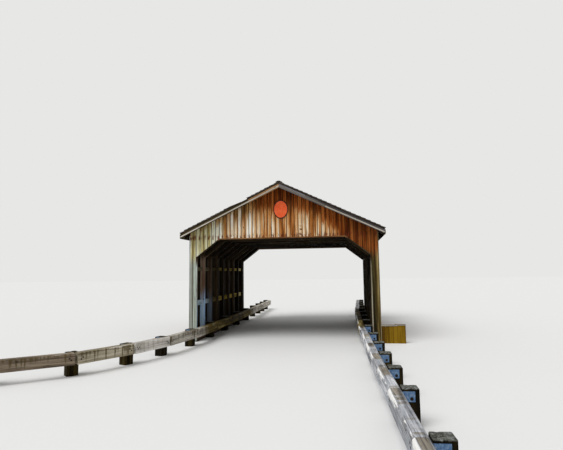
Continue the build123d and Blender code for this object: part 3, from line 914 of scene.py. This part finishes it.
def shiplap_boards(left, right, thickness):
    """Middle and section of each upright board that fills a stretch."""
    for a, b in even_boards(left, right, BOARD_WIDTH):
        lap = BOARD_LAP if b < right - HAIR else 0
        yield (a + b) / 2, shiplap(a + BOARD_GAP / 2, b - BOARD_GAP / 2, thickness, lap)


def gable_boards(end, name, nails):
    """Upright boards of one gable: field, haunches and jambs."""
    field_low, field_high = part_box(f"{name}_gable_field")
    haunch_low, haunch_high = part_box(f"{name}_gable_haunches")
    jamb_low, jamb_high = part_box(f"{name}_gable_jambs")
    face = field_low.y if end < 0 else field_high.y
    fall = (field_low.z - haunch_low.z) / (haunch_high.x - field_high.x)

    def place(across, depth, height):
        return (across, face - end * depth, height)

    def head(x):
        return roof_z(x, DECK_DEPTH)

    def haunch_foot(x):
        return field_low.z - fall * (abs(x) - field_high.x)

    field, haunch, jamb = field_high.x, haunch_high.x, jamb_high.x
    for part, foot, runs in (("field", field_low.z, ((-field, field),)),
                             ("haunches", haunch_foot, ((-haunch, -field), (field, haunch))),
                             ("jambs", jamb_low.z, ((-jamb, -haunch), (haunch, jamb)))):
        stock, rng = Stock(), Random(f"{name} {part}")
        for left, right in runs:
            for middle, section in shiplap_boards(left, right, field_high.y - field_low.y):
                run_board(stock, rng, section, place, foot, head, bow=0.0015)
                heights = [at(foot, middle) + over for over in NAILS_OVER_FOOT]
                for height in heights + [head(middle) - NAILS_UNDER_ROOF]:
                    nail_pair(nails, place, middle, height, (0, end, 0))
        stock.replace(f"{name}_gable_{part}", "boards", "gable_boards", "gable")


def siding_boards(side, name, nails):
    """Upright boards of one side wall, nailed to sill, girts and plate."""
    low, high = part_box(f"{name}_siding")
    face = high.x if side > 0 else low.x
    head = min(c.z for c in corners(f"{name}_siding") if c.z > (low.z + high.z) / 2)
    girts = [extent(points)[0].z for points, faces in solids(f"{name}_girts")]
    nailed = [SILL_NAILS, head - PLATE_NAILS] + [girt + GIRT_NAILS for girt in girts]

    def place(across, depth, height):
        return (face - side * depth, across, height)

    stock, rng = Stock(), Random(name)
    for middle, section in shiplap_boards(low.y, high.y, high.x - low.x):
        run_board(stock, rng, section, place, low.z + rng.uniform(0, 0.012), head)
        for height in nailed:
            nail_pair(nails, place, middle, height, (side, 0, 0))
    stock.replace(f"{name}_siding", "boards", "siding_boards", "siding")


def wing_boards():
    """Upright boards of the wing walls round a core, and their caps in two offset pieces."""
    stock, caps, rng = Stock(), Stock(), Random("wing")
    cap_boxes = [extent(points) for points, faces in solids("wing_wall_caps")]
    thick, inset = WING_BOARD_THICKNESS, WING_BOARD_THICKNESS + 0.001

    def upright(across, depth, height):
        return (across, depth, height)

    def lying(across, depth, reach):
        return (reach, across, depth)

    for points, faces in solids("wing_walls"):
        low, high = extent(points)
        cap_low, cap_high = min(cap_boxes, key=lambda box: abs(box[0].y - low.y))
        joint = cap_low.x + (cap_high.x - cap_low.x) * WING_CAP_JOINT[1 if low.x > 0 else -1]

        def top(x):
            return high.z - (WING_STEP if abs(x) < abs(joint) else 0)

        for near, far in ((low.y, low.y + thick), (high.y - thick, high.y)):
            for a, b in even_boards(low.x, high.x, WING_BOARD):
                section = bevelled(a + 0.001, b - 0.001, near, far)
                run_board(stock, rng, section, upright, low.z, min(top(a), top(b)))
        core = bevelled(low.y + inset, high.y - inset, low.z + 0.01, high.z - WING_STEP - 0.005)
        run_board(stock, rng, core, lying, low.x + 0.01, high.x - 0.01)
        for start, stop in joined(cap_low.x, joint, cap_high.x, 0.002):
            drop = high.z - top((start + stop) / 2)
            near, far = cap_low.y + rng.uniform(0, WING_CAP_SLIP), cap_high.y - rng.uniform(0, WING_CAP_SLIP)
            section = bevelled(near, far, cap_low.z - drop, cap_high.z - drop, 0.004)
            run_board(caps, rng, section, lying, start, stop)
    stock.replace("wing_walls", "boards", "wing_boards", "wing")
    caps.replace("wing_wall_caps", "boards", "wing_boards", "strip")


def sign_plaque():
    """Plain oval plaque with a raised border painted dark as the shadow along its edge, and a slightly domed
    face.
    """
    low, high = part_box("sign_plaque")
    middle, half = (low + high) / 2, (high - low) / 2
    levels = [(1.0, high.y)] + [(scale, low.y + depth) for scale, depth in SIGN_PROFILE]
    turns = [2 * pi * i / SIGN_SIDES for i in range(SIGN_SIDES)]
    rings = [[(middle.x + half.x * s * cos(t), y, middle.z + half.z * s * sin(t)) for t in turns]
             for s, y in levels]
    mesh = closed_mesh("sign_plaque_panel", *loft(rings))
    placed("sign_plaque_panel", mesh, SIGN_PAINTS, ["sign_plaque"])
    for polygon in mesh.polygons:
        points = [mesh.vertices[i].co for i in polygon.vertices]
        reach = max(hypot((p.x - middle.x) / half.x, (p.z - middle.z) / half.z) for p in points)
        polygon.material_index = 1 if reach < SIGN_FACE else 0
    smooth_faces(mesh, 40)


# Roof

def roof_deck(side, name):
    """Deck boards along one slope, in lengths that meet over the rafters."""
    low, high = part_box(f"{name}_roof_deck")
    foot = max(abs(low.x), abs(high.x)) / SLOPE_COS
    stock, rng = Stock(), Random(f"deck {name}")
    for row, (a, b) in enumerate(even_boards(DECK_DEPTH * PITCH, foot, DECK_BOARD)):
        section = bevelled(a + 0.001, b - 0.001, SHINGLE_DEPTH, DECK_DEPTH)
        joint = low.y + (high.y - low.y) * DECK_JOINTS[row % 2]
        for start, stop in joined(low.y, joint, high.y):
            run_board(stock, rng, section, partial(on_slope, side), start, stop, step=0.9, bow=0.001)
    stock.replace(f"{name}_roof_deck", "boards", "deck_boards", "deck")


def shake_roof(side, name):
    """Courses of split shakes on one slope, butts down the slope. The first course is doubled."""
    low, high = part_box(f"{name}_shingles")
    foot = max(abs(low.x), abs(high.x)) / SLOPE_COS
    butt = SHINGLE_DEPTH * SHAKE_EXPOSURE / SHAKE_LENGTH
    stock, rng = Stock(), Random(f"shakes {name}")
    for course in range(-1, int(foot / SHAKE_EXPOSURE) + 1):
        bottom = foot - max(course, 0) * SHAKE_EXPOSURE
        lift = SHINGLE_DEPTH - butt * (1 if course >= 0 else 2)
        y = low.y - rng.uniform(0, 0.1)
        while y < high.y - HAIR:
            width = rng.uniform(*SHAKE_WIDTHS)
            left = max(y, low.y + rng.uniform(0, 0.015))
            right = min(y + width, high.y - rng.uniform(0, 0.015))
            lost = LOST_SHAKES[0] < bottom < LOST_SHAKES[1] and right < low.y + LOST_SHAKES_REACH
            bare = course == 0 and right < low.y + BARE_CORNER
            if right - left > SHAKE_LEAST and not (side < 0 and (lost or bare)):
                shake(stock, rng, side, left, right, bottom, lift, butt)
            y += width + SHAKE_GAP
    stock.replace(f"{name}_shingles", "shakes", "shingle_cedar", "shake")


def shake(stock, rng, side, left, right, bottom, lift, butt):
    """Add one split shake: thick ragged butt, thin head, uneven face."""
    slip = rng.uniform(0, SHAKE_SLIP)
    thick = butt * rng.uniform(0.8, 1.0)
    columns = [left + (right - left) * t for t in (0, rng.uniform(0.25, 0.45), rng.uniform(0.55, 0.8), 1)]
    dips = [rng.uniform(-0.003, 0.0) for column in columns]
    ragged = [rng.uniform(-0.004, 0.004) for column in columns]
    points, grain = [], []
    along, first, second = grain_start(rng)
    for t in (0.0, 0.45, 1.0):
        for body in (1, 0):
            for y, dip, jag in zip(columns, dips, ragged):
                down = max(bottom - slip - t * SHAKE_LENGTH + (jag if t == 0 else 0), SHINGLE_DEPTH * PITCH)
                height = lift * (1 - t) + body * ((thick + dip) * (1 - t) + SHAKE_HEAD)
                points.append(on_slope(side, down, SHINGLE_DEPTH - height, y))
                grain.append((along + down, first + y, second + height))
    stock.add(points, shake_faces(), grain, rng.random())


def shake_faces():
    """Faces over three rows of points, each with four on top and four under them."""
    faces = []
    for row in (0, 8):
        for i in range(row, row + 3):
            faces.append((i, i + 1, i + 9, i + 8))
            faces.append((i + 4, i + 12, i + 13, i + 5))
        faces.append((row, row + 8, row + 12, row + 4))
        faces.append((row + 3, row + 7, row + 15, row + 11))
    for i in range(3):
        faces.append((i, i + 4, i + 5, i + 1))
        faces.append((i + 16, i + 17, i + 21, i + 20))
    return faces


def ridge_caps():
    """Short cap boards that lap each other along the ridge."""
    low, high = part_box("ridge_cap")
    stock, rng = Stock(), Random("ridge")
    last = int((high.y - low.y) / CAP_EXPOSURE) - 1
    for i in range(last + 1):
        for side in SIDES.values():
            start = low.y + (high.y - low.y - CAP_LENGTH) * i / last
            start += rng.uniform(-CAP_SLIP, CAP_SLIP) if 0 < i < last else 0
            reach = high.x / SLOPE_COS - rng.uniform(0, CAP_SLIP)
            along, first, second = grain_start(rng)
            rings, grain = [], []
            for y, lift in ((start, 0.010), (start + CAP_LENGTH, 0.001)):
                over = lift + CAP_THICKNESS
                ring = ((0.001, lift), (reach, lift), (reach, over), (0.001, over))
                rings.append([on_slope(side, down, -height, y) for down, height in ring])
                grain += [(along + y, first + down, second + height) for down, height in ring]
            stock.add(*loft(rings), grain, rng.random())
    stock.replace("ridge_cap", "boards", "shingle_cedar", "shake")


def rake_boards(end, name):
    """Barge boards of one gable, with a paler batten along each face."""
    low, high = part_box(f"{name}_rake_boards")
    near, far = (low.y, high.y) if end < 0 else (high.y, low.y)
    face = near - end * BATTEN_THICKNESS
    foot_z = min(c.z for c in corners(f"{name}_rake_boards") if abs(c.x) < 0.01)
    foot = (RIDGE_Z - foot_z) * SLOPE_COS
    upper, lower = (DECK_DEPTH + (foot - DECK_DEPTH) * share for share in BATTEN_SPAN)
    boards, battens, rng = Stock(), Stock(), Random(f"rake {name}")

    def place(side, across, depth, reach):
        cut = (depth - DECK_DEPTH) * SLOPE_SIN * reach / high.x
        return (side * (reach - cut), across, roof_z(reach - cut, depth))

    for side in SIDES.values():
        section = bevelled(min(face, far), max(face, far), DECK_DEPTH, foot)
        lengths = joined(0.003, BARGE_JOINTS[side], high.x)
        for (start, stop), tone in zip(lengths, BARGE_TONES[side]):
            run_board(boards, rng, section, partial(place, side), start, stop, bow=0.001, tone=tone)
        lengths = joined(0.003, high.x * BATTEN_JOINTS[side], high.x)
        for (start, stop), slip, tone in zip(lengths, (0.0, BATTEN_SLIP), BATTEN_TONES[side]):
            section = bevelled(min(near, face), max(near, face), upper + slip, lower + slip)
            run_board(battens, rng, section, partial(place, side), start, stop, bow=0.001, tone=tone)
    battens.piece(f"{name}_rake_battens", "weathered_boards", "strip")
    boards.replace(f"{name}_rake_boards", "pair", "weathered_boards", "fascia")


# Guard rails

def plan_of(points):
    """Corners of a prism's foot, in order round it."""
    foot = min(p.z for p in points)
    plan = [p for p in points if p.z < foot + HAIR]
    middle = sum(plan, Vector()) / len(plan)
    return sorted(plan, key=lambda p: Vector((p.x - middle.x, p.y - middle.y)).angle_signed(Vector((1, 0))))


class Check:
    """A drying crack along a timber."""

    def __init__(self, rng, length):
        self.half = rng.uniform(*CHECK_RUN) * length / 2
        self.middle = rng.uniform(0.1, 0.9) * length
        self.width = rng.uniform(*CHECK_WIDTH)
        self.depth = rng.uniform(*CHECK_DEPTH)
        self.wander = rng.uniform(0.002, 0.006)
        self.phase = rng.uniform(0, 50)

    def at(self, reach):
        """Sideways shift, half width and depth of the crack at a distance along the timber."""
        fade = sqrt(max(0.0, 1 - ((reach - self.middle) / self.half) ** 2))
        shift = self.wander * noise.noise(Vector((self.phase, reach * 3, 0)))
        return shift, CHECK_LEAST + self.width / 2 * fade, self.depth * fade


class RailSection:
    """Points round a rail's section: foot, front face, worn top edge, top and back.

    A stop has its place across, its height, its nearness to the worn edge, and its check if it has one.
    Wear is above zero on pale rubbed wood, whose near-white along the worn edge is partly a painted
    highlight, and below zero on the top of the far end, which takes more tan bands.
    """

    def __init__(self, rng, width, depth, length):
        self.phase, self.depth, self.length = rng.uniform(0, 100), depth, length
        cut, shoulder, half = RAIL_CHAMFER, depth - RAIL_CHAMFER, RAIL_CHAMFER * 0.45
        quarters = [1 - i / 4 for i in range(5)]
        self.stops = [(width * share, 0.0, 0.0) for share in quarters]
        self.stops += self.face(rng, lambda t: (0.0, shoulder * t))
        self.stops += [(0.0, shoulder, 0.7), (half, depth - half, 1.0), (cut, depth, 0.55)]
        self.stops += self.face(rng, lambda t: (cut + (width - 2 * cut) * t, depth))
        self.stops += [(width - cut, depth, 0.3), (width, shoulder, 0.3)]
        self.stops += [(width, shoulder * share, 0.0) for share in quarters[1:4]]

    def face(self, rng, place):
        """Stops over one face, some of which are checks."""
        cracked = rng.sample(range(STOPS_PER_FACE), CHECKS_PER_FACE)
        for i in range(STOPS_PER_FACE):
            check = [Check(rng, self.length)] if i in cracked else []
            yield *place((i + 0.5) / STOPS_PER_FACE), 0.0, *check

    def wear(self, across, height, edge, rubbed, end):
        """Wear at one point of the section, of how rubbed and how near its end the timber is."""
        if edge:
            return edge * rubbed
        if across == 0.0:
            return max(0.0, rubbed - 0.5) * 2.2 * max(0.0, 1 - (self.depth - height) / 0.22)
        return -end if height > self.depth - HAIR else 0.0

    def dent(self, reach, across, height, edge):
        """How far the wood is worn in at a point, most of all along the worn edge."""
        dent = abs(noise.noise(Vector((self.phase, reach * 1.7, across * 9 + height * 7)))) * 0.005
        if edge == 1.0:
            dent += max(0.0, noise.noise(Vector((self.phase, reach * 4, 3)))) * 0.012
        return (dent if across < 0.1 else -dent), (-dent if height > 0.2 else 0)

    def ring(self, reach):
        """Places across, heights and wear at a distance along the timber."""
        points = []
        end = max(0.0, 1 - (self.length - reach) / WORN_END)
        rubbed = min(1.0, 0.60 + 0.5 * noise.noise(Vector((self.phase, reach * 1.6, 9))) + 0.8 * end)
        for across, height, edge, *check in self.stops:
            moves = [self.dent(reach, across, height, edge)]
            if check:
                shift, half, deep = check[0].at(reach)
                moves = (shift - half, 0.0), (shift, deep), (shift + half, 0.0)
                moves = [(cut, aside) if across == 0.0 else (aside, -cut) for aside, cut in moves]
            worn = self.wear(across, height, edge, rubbed, end)
            points += [(across + aside, height + over, worn) for aside, over in moves]
        return points


def rail_sides(points):
    """The foot lines of a timber's front and back, each from its near end on."""
    plan = plan_of(points)
    sides = zip(plan, plan[1:] + plan[:1])
    long_sides = sorted(sides, key=lambda s: (s[1] - s[0]).length)[2:]
    front, back = sorted(long_sides, key=lambda s: abs(s[0].x + s[1].x))
    return sorted(front, key=lambda p: p.y), sorted(back, key=lambda p: p.y)


def rail_bolts(fixings, front, back, foot, depth):
    """Add two bolt heads at each end of a timber's front."""
    heading = (front[1] - front[0]).normalized()
    length = (front[1] - front[0]).length
    outward = Vector((front[0].x - back[0].x, front[0].y - back[0].y, 0))
    outward = (outward - heading * outward.dot(heading)).normalized()
    for reach, step in ((RAIL_BOLT_INSET, RAIL_BOLT_STEP), (length - RAIL_BOLT_INSET, -RAIL_BOLT_STEP)):
        for aside, level in zip((0.0, step), RAIL_BOLT_LEVELS):
            centre = front[0] + heading * (reach + aside)
            centre.z = foot + depth * level
            disc(fixings, centre, outward, 12, RAIL_BOLT)


def rail_timbers(node, fixings):
    """Heavy rail timbers with checks, worn front edges, gaps at the joints and bolts."""
    stock, rng = Stock(), Random(node)
    gap = RAIL_END_GAP["left" if "left" in node else "right"]
    for points, faces in solids(node):
        foot, top = (corner.z for corner in extent(points))
        depth = top - foot
        front, back = rail_sides(points)
        length = (front[1] - front[0]).length
        width = abs((back[0] - front[0]).cross((front[1] - front[0]).normalized()).z)
        section = RailSection(rng, width, depth, length)
        rows = max(8, round(length / RAIL_STEP))
        reaches = [gap, gap + RAIL_RIM_RUN] + [length * i / rows for i in range(1, rows)]
        reaches += [length - gap - RAIL_RIM_RUN, length - gap]
        along, first, second = grain_start(rng)
        rings, grain, edges = [], [], []
        for reach in reaches:
            rim = RAIL_RIM if reach in (reaches[0], reaches[-1]) else 0.0
            near, far = (side[0].lerp(side[1], reach / length) for side in (front, back))
            ring = []
            for across, height, edge in section.ring(reach):
                point = near.lerp(far, (rim + (width - 2 * rim) * across / width) / width)
                ring.append((point.x, point.y, foot + rim + (depth - 2 * rim) * height / depth))
                grain.append((along + reach, first + across, second + height))
                edges.append(edge)
            rings.append(ring)
        stock.add(*loft(rings), grain, rng.random(), edges)
        rail_bolts(fixings, front, back, foot, depth)
    stock.replace(node, "timber", "rail_timber", "rail", 35)


def rounded_outline(plan, radius, per_side):
    """A convex outline with rounded corners and points along its sides."""
    outline = []
    for i, here in enumerate(plan):
        before, after = plan[i - 1], plan[(i + 1) % len(plan)]
        back, ahead = before - here, after - here
        cut = min(radius, back.length / 3, ahead.length / 3)
        start, stop = here + back.normalized() * cut, here + ahead.normalized() * cut
        outline += [start, start.lerp(stop, 0.5).lerp(here, 0.42), stop]
        following = after - ahead.normalized() * min(radius, ahead.length / 3)
        outline += [stop.lerp(following, t / per_side) for t in range(1, per_side)]
    return outline


def post_point(corner, middle, row, split, tilt):
    """A point of a post's skin, which is cut in where it is split, and tilted at the top."""
    z, scale, crack = row
    point = middle.lerp(corner, scale)
    point.z = z
    cut = POST_SPLIT * crack * split
    if scale == 1.0:
        point.x += (middle.x - point.x) * cut / POST_HALF
        point.y += (middle.y - point.y) * cut / POST_HALF
    else:
        point.z -= cut * min(1.0, scale * 2)
    if crack > 0:
        point.z += (point.x - middle.x) * tilt[0] + (point.y - middle.y) * tilt[1] - 0.004
    return point


def guard_posts(node):
    """Guard posts with weathered, split tops."""
    stock, rng = Stock(), Random(node)
    for points, faces in solids(node):
        foot, top = (corner.z for corner in extent(points))
        plan = plan_of(points)
        middle = sum(plan, Vector()) / len(plan)
        outline = rounded_outline(plan, POST_ROUNDING, 6)
        splits = {rng.randrange(len(outline)): rng.uniform(0.5, 1.0) for i in range(4)}
        along, first, second = grain_start(rng)
        tilt = rng.uniform(-POST_TILT, POST_TILT), rng.uniform(-POST_TILT, POST_TILT)
        rows = [(foot + (top - foot - 0.05) * i / 6, 1.0, 0.0) for i in range(7)]
        rows += [(top - drop, scale, crack) for drop, scale, crack in POST_TOP]
        rings, grain = [], []
        for row in rows:
            ring = []
            for i, corner in enumerate(outline):
                point = post_point(corner, middle, row, splits.get(i, 0.0), tilt)
                moved = rough(point, 0.25, 0.002)
                if row[0] == foot:
                    moved.z = foot
                ring.append(tuple(moved))
                grain.append((along + row[0], first + point.x - middle.x, second + point.y - middle.y))
            rings.append(ring)
        stock.add(*loft(rings), grain, rng.random())
    stock.replace(node, "timber", "guard_post_timber", "post", 50)


def foot_face(points, faces):
    """The foot of a prism, as points in order round it."""
    foot = min(p.z for p in points)
    return next([points[i] for i in face] for face in faces if all(points[i].z < foot + HAIR for i in face))


def steel_angles(fixings):
    """Galvanised angles with a bolt through each leg."""
    plates = Stock()
    for points, faces in solids("post_angles"):
        outline = foot_face(points, faces)
        count = len(outline)
        sides = [(outline[(i + 1) % count] - outline[i]).length for i in range(count)]
        heel = max(range(count), key=lambda i: sides[i] + sides[i - 1])
        corner = outline[heel]
        legs = outline[(heel + 1) % count] - corner, outline[heel - 1] - corner
        rail_leg, post_leg = sorted(legs, key=lambda leg: leg.length)
        work = bevelled_solid(points, faces, ANGLE_BEVEL)
        skin = face_corners(work)
        shaped = [v.co.copy() for v in work.verts]
        plates.add(shaped, skin, shaped, 0.5)
        work.free()
        low, high = extent(points)
        up = Vector((0, 0, high.z - low.z))
        for leg, axis, fit in ((post_leg, rail_leg, POST_LEG_BOLT), (rail_leg, post_leg, RAIL_LEG_BOLT)):
            along, rise, radius, height = fit
            centre = corner + leg * along + axis.normalized() * min(sides) + up * rise
            bolt(fixings, centre, axis, radius, height)
    plates.replace("post_angles", "plates", "galvanised_steel", "zinc")


def build_bridge():
    """Every piece of the bridge and its rails."""
    nails, fixings = Stock(), Stock()
    for name, end in ENDS.items():
        gable_boards(end, name, nails)
        rake_boards(end, name)
        sawn_timbers(f"{name}_portal_trim", "weathered_boards", "trim", bevel=0.003, wander=0.001)
    for name, side in SIDES.items():
        siding_boards(side, name, nails)
        roof_deck(side, name)
        shake_roof(side, name)
        for part in ("wall_posts", "girts", "girt_blocks", "rafters"):
            sawn_timbers(f"{name}_{part}", "frame_timber", "girt" if "girt" in part else "frame")
    for node in ("top_plates", "tie_beams", "knee_braces", "ridge_board"):
        sawn_timbers(node, "frame_timber", "frame")
    sawn_timbers("sills", "sill_timber", "deck", bevel=0.01)
    sawn_timbers("eave_boards", "weathered_boards", "fascia", bevel=0.003)
    sawn_timbers("corner_boards", "weathered_boards", "corner", bevel=0.003, wander=0.001)
    ridge_caps()
    sign_plaque()
    wing_boards()
    steel_angles(fixings)
    for rail in RAILS:
        rail_timbers(f"{rail}_rail_beams", fixings)
        guard_posts(f"{rail}_rail_posts")
    nails.piece("board_nails", "galvanised_steel", "rust")
    fixings.piece("rail_bolts", "galvanised_steel", "rust")


# Camera, light and floor

def place_camera():
    """A camera at the photograph's place and angle."""
    data = bpy.data.cameras.new("camera")
    data.sensor_width = SENSOR_WIDTH
    data.lens = FOCAL_PIXELS / PHOTO_WIDTH * SENSOR_WIDTH
    data.clip_end = CAMERA_REACH
    camera = new_object("camera", data)
    heading = Matrix.Rotation(CAMERA_YAW, 4, "Z") @ Matrix.Rotation(pi / 2 + CAMERA_PITCH, 4, "X")
    camera.matrix_world = Matrix.Translation(CAMERA_PLACE) @ heading @ Matrix.Rotation(CAMERA_ROLL, 4, "Z")
    bpy.context.scene.camera = camera


def place_sun():
    """A soft high sun."""
    sun = bpy.data.lights.new("sun", "SUN")
    sun.energy = SUN_STRENGTH
    sun.angle = SUN_SOFTNESS
    lamp = new_object("sun", sun)
    lamp.rotation_mode = "QUATERNION"
    lamp.rotation_quaternion = Vector(SUN_DIRECTION).to_track_quat("-Z", "Y")


def place_sky():
    """An even sky, with a pale backdrop for the camera and for what steel and glass show."""
    world = bpy.data.worlds.new("sky")
    bpy.context.scene.world = world
    graph = Graph(world)
    seen = 0.0
    for ray in ("Is Camera Ray", "Is Glossy Ray", "Is Transmission Ray"):
        seen = graph.math("MAXIMUM", seen, graph.node("LightPath", {}, ray))
    sky = graph.node("Background", {"Color": (1, 1, 1), "Strength": SKY_STRENGTH})
    backdrop = graph.node("Background", {"Color": BACKDROP})
    shown = graph.node("MixShader", {0: seen, 1: sky, 2: backdrop})
    graph.put(world.node_tree.nodes["World Output"].inputs["Surface"], shown)


def place_floor():
    """A plain pale floor at road level."""
    half = FLOOR_HALF
    mesh = bpy.data.meshes.new("floor")
    plan = [(-half, -half, 0), (half, -half, 0), (half, half, 0), (-half, half, 0)]
    mesh.from_pydata(plan, [], [(0, 1, 2, 3)])
    floor = new_object("floor", mesh)
    finish = Finish("floor", roughness=1.0, gloss=0.0)
    finish.put(finish.shader["Base Color"], FLOOR_COLOUR)
    mesh.materials.append(finish.material)


build_bridge()
place_camera()
place_sun()
place_sky()
place_floor()
bpy.context.scene.view_settings.view_transform = "Standard"
